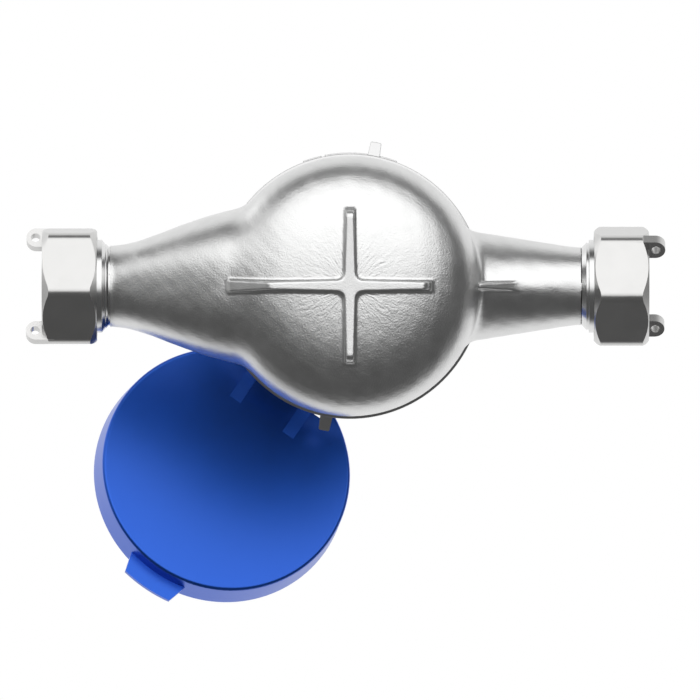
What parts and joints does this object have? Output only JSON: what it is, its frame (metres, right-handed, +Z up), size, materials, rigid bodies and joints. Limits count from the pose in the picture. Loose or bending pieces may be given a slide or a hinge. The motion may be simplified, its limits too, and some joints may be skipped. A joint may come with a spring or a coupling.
{
  "type": "water meter",
  "caption": "Multi-jet water meter: domed stainless body with threaded spuds, loose union nuts, cross foot, screwed cover ring and a hinged lid over a dry register.",
  "frame": {"origin": "middle of the cross foot's flat face, on the meter's upright axis", "axes": "+Z up towards the register, +X the way the water runs from inlet to outlet along the pipe axis, +Y across"},
  "size_m": [0.2144, 0.1552, 0.1041],
  "materials": {
    "cast_stainless": "satin, fine cast grain",
    "ring_stainless": "satin",
    "polished_stainless": "smooth, polished",
    "blue_plastic": "semi-gloss moulded",
    "black_rubber": "matt",
    "white_plastic": "matt moulded",
    "grey_plastic": "matt moulded",
    "black_plastic": "satin moulded",
    "red_plastic": "glossy",
    "number_white": "matt",
    "dial_white": "printed plate",
    "ferrite": "sintered",
    "brass_posts": "turned",
    "clear_glass": "clear, flat"
  },
  "bodies": {
    "meter_body": {"body_casting": "cast_stainless", "cover_ring": "ring_stainless", "hinge_pin": "polished_stainless", "inlet_strainer": "white_plastic", "measuring_chamber": "white_plastic", "chamber_seal": "black_rubber", "chamber_cover": "white_plastic", "impeller_pivot": "polished_stainless", "pressure_plate": "ring_stainless", "body_o_ring": "black_rubber", "register_can": "black_plastic", "lower_gear_plate": "grey_plastic", "upper_gear_plate": "grey_plastic", "plate_pillars": "brass_posts", "dial_plate": "dial_white", "number_wheel_axle": "polished_stainless", "glass_gasket": "black_rubber", "register_glass": "clear_glass", "glass_bezel": "black_plastic"},
    "lid": {"lid": "blue_plastic"},
    "inlet_washer": {"inlet_washer": "black_rubber"},
    "inlet_nut": {"inlet_union_nut": "polished_stainless"},
    "outlet_washer": {"outlet_washer": "black_rubber"},
    "outlet_nut": {"outlet_union_nut": "polished_stainless"},
    "impeller": {"impeller": "grey_plastic", "drive_magnet": "ferrite"},
    "follower": {"follower_magnet": "ferrite", "follower_spindle": "white_plastic"},
    "star_wheel": {"star_wheel": "white_plastic", "leak_star": "red_plastic"},
    "first_reduction_wheel": {"first_reduction_wheel": "white_plastic"},
    "second_reduction_wheel": {"second_reduction_wheel": "white_plastic"},
    "pointer": {"pointer_wheel": "white_plastic", "pointer": "red_plastic"},
    "number_wheel_1": {"number_wheel_1": "number_white"},
    "number_wheel_2": {"number_wheel_2": "number_white"},
    "number_wheel_3": {"number_wheel_3": "number_white"},
    "number_wheel_4": {"number_wheel_4": "number_white"},
    "number_wheel_5": {"number_wheel_5": "number_white"}
  },
  "joints": [
    {"name": "lid_hinge", "type": "hinge", "parent": "meter_body", "child": "lid", "pos_m": [-0.02146, 0.0317, 0.0941], "axis": [0.8281, 0.5606, 0], "range_deg": [0, 199]},
    {"name": "inlet_nut_travel", "type": "slide", "parent": "meter_body", "child": "inlet_washer", "axis": [-1, 0, 0], "range_m": [0, 0.01387]},
    {"name": "inlet_nut_turn", "type": "hinge", "parent": "inlet_washer", "child": "inlet_nut", "pos_m": [-0.09, 0, 0.04], "axis": [-1, 0, 0], "range_deg": [0, 2160]},
    {"name": "outlet_nut_travel", "type": "slide", "parent": "meter_body", "child": "outlet_washer", "axis": [1, 0, 0], "range_m": [0, 0.01387]},
    {"name": "outlet_nut_turn", "type": "hinge", "parent": "outlet_washer", "child": "outlet_nut", "pos_m": [0.09, 0, 0.04], "axis": [1, 0, 0], "range_deg": [0, 2160]},
    {"name": "impeller_spin", "type": "hinge", "parent": "meter_body", "child": "impeller", "pos_m": [0, 0, 0.04], "axis": [0, 0, 1], "continuous": true},
    {"name": "follower_spin", "type": "hinge", "parent": "meter_body", "child": "follower", "pos_m": [0, 0, 0.07], "axis": [0, 0, 1], "continuous": true},
    {"name": "star_spin", "type": "hinge", "parent": "meter_body", "child": "star_wheel", "pos_m": [-0.00357, -0.00934, 0.075], "axis": [0, 0, 1], "continuous": true},
    {"name": "first_reduction_spin", "type": "hinge", "parent": "meter_body", "child": "first_reduction_wheel", "pos_m": [0.00674, -0.01549, 0.076], "axis": [0, 0, 1], "continuous": true},
    {"name": "second_reduction_spin", "type": "hinge", "parent": "meter_body", "child": "second_reduction_wheel", "pos_m": [0.0072, -0.00349, 0.077], "axis": [0, 0, 1], "continuous": true},
    {"name": "pointer_spin", "type": "hinge", "parent": "meter_body", "child": "pointer", "pos_m": [0, 0, 0.08], "axis": [0, 0, 1], "continuous": true},
    {"name": "number_wheel_1_spin", "type": "hinge", "parent": "meter_body", "child": "number_wheel_1", "pos_m": [0.00166, 0.01682, 0.0766], "axis": [-0.8281, -0.5606, 0], "continuous": true},
    {"name": "number_wheel_2_spin", "type": "hinge", "parent": "meter_body", "child": "number_wheel_2", "pos_m": [-0.00282, 0.01379, 0.0766], "axis": [-0.8281, -0.5606, 0], "continuous": true},
    {"name": "number_wheel_3_spin", "type": "hinge", "parent": "meter_body", "child": "number_wheel_3", "pos_m": [-0.00729, 0.01077, 0.0766], "axis": [-0.8281, -0.5606, 0], "continuous": true},
    {"name": "number_wheel_4_spin", "type": "hinge", "parent": "meter_body", "child": "number_wheel_4", "pos_m": [-0.01176, 0.00774, 0.0766], "axis": [-0.8281, -0.5606, 0], "continuous": true},
    {"name": "number_wheel_5_spin", "type": "hinge", "parent": "meter_body", "child": "number_wheel_5", "pos_m": [-0.01623, 0.00471, 0.0766], "axis": [-0.8281, -0.5606, 0], "continuous": true}
  ],
  "couplings": [
    {"joint": "inlet_nut_travel", "follows": "inlet_nut_turn", "m_per_rad": 0.0003675},
    {"joint": "outlet_nut_travel", "follows": "outlet_nut_turn", "m_per_rad": 0.0003675},
    {"joint": "follower_spin", "follows": "impeller_spin", "ratio": 1},
    {"joint": "star_spin", "follows": "impeller_spin", "ratio": -0.25},
    {"joint": "first_reduction_spin", "follows": "impeller_spin", "ratio": 0.05},
    {"joint": "second_reduction_spin", "follows": "impeller_spin", "ratio": -0.01},
    {"joint": "pointer_spin", "follows": "impeller_spin", "ratio": 0.0033333},
    {"joint": "number_wheel_1_spin", "follows": "impeller_spin", "ratio": 0.00033333},
    {"joint": "number_wheel_2_spin", "follows": "impeller_spin", "ratio": 0.000033333},
    {"joint": "number_wheel_3_spin", "follows": "impeller_spin", "ratio": 0.0000033333},
    {"joint": "number_wheel_4_spin", "follows": "impeller_spin", "ratio": 0.00000033333},
    {"joint": "number_wheel_5_spin", "follows": "impeller_spin", "ratio": 0.000000033333}
  ]
}
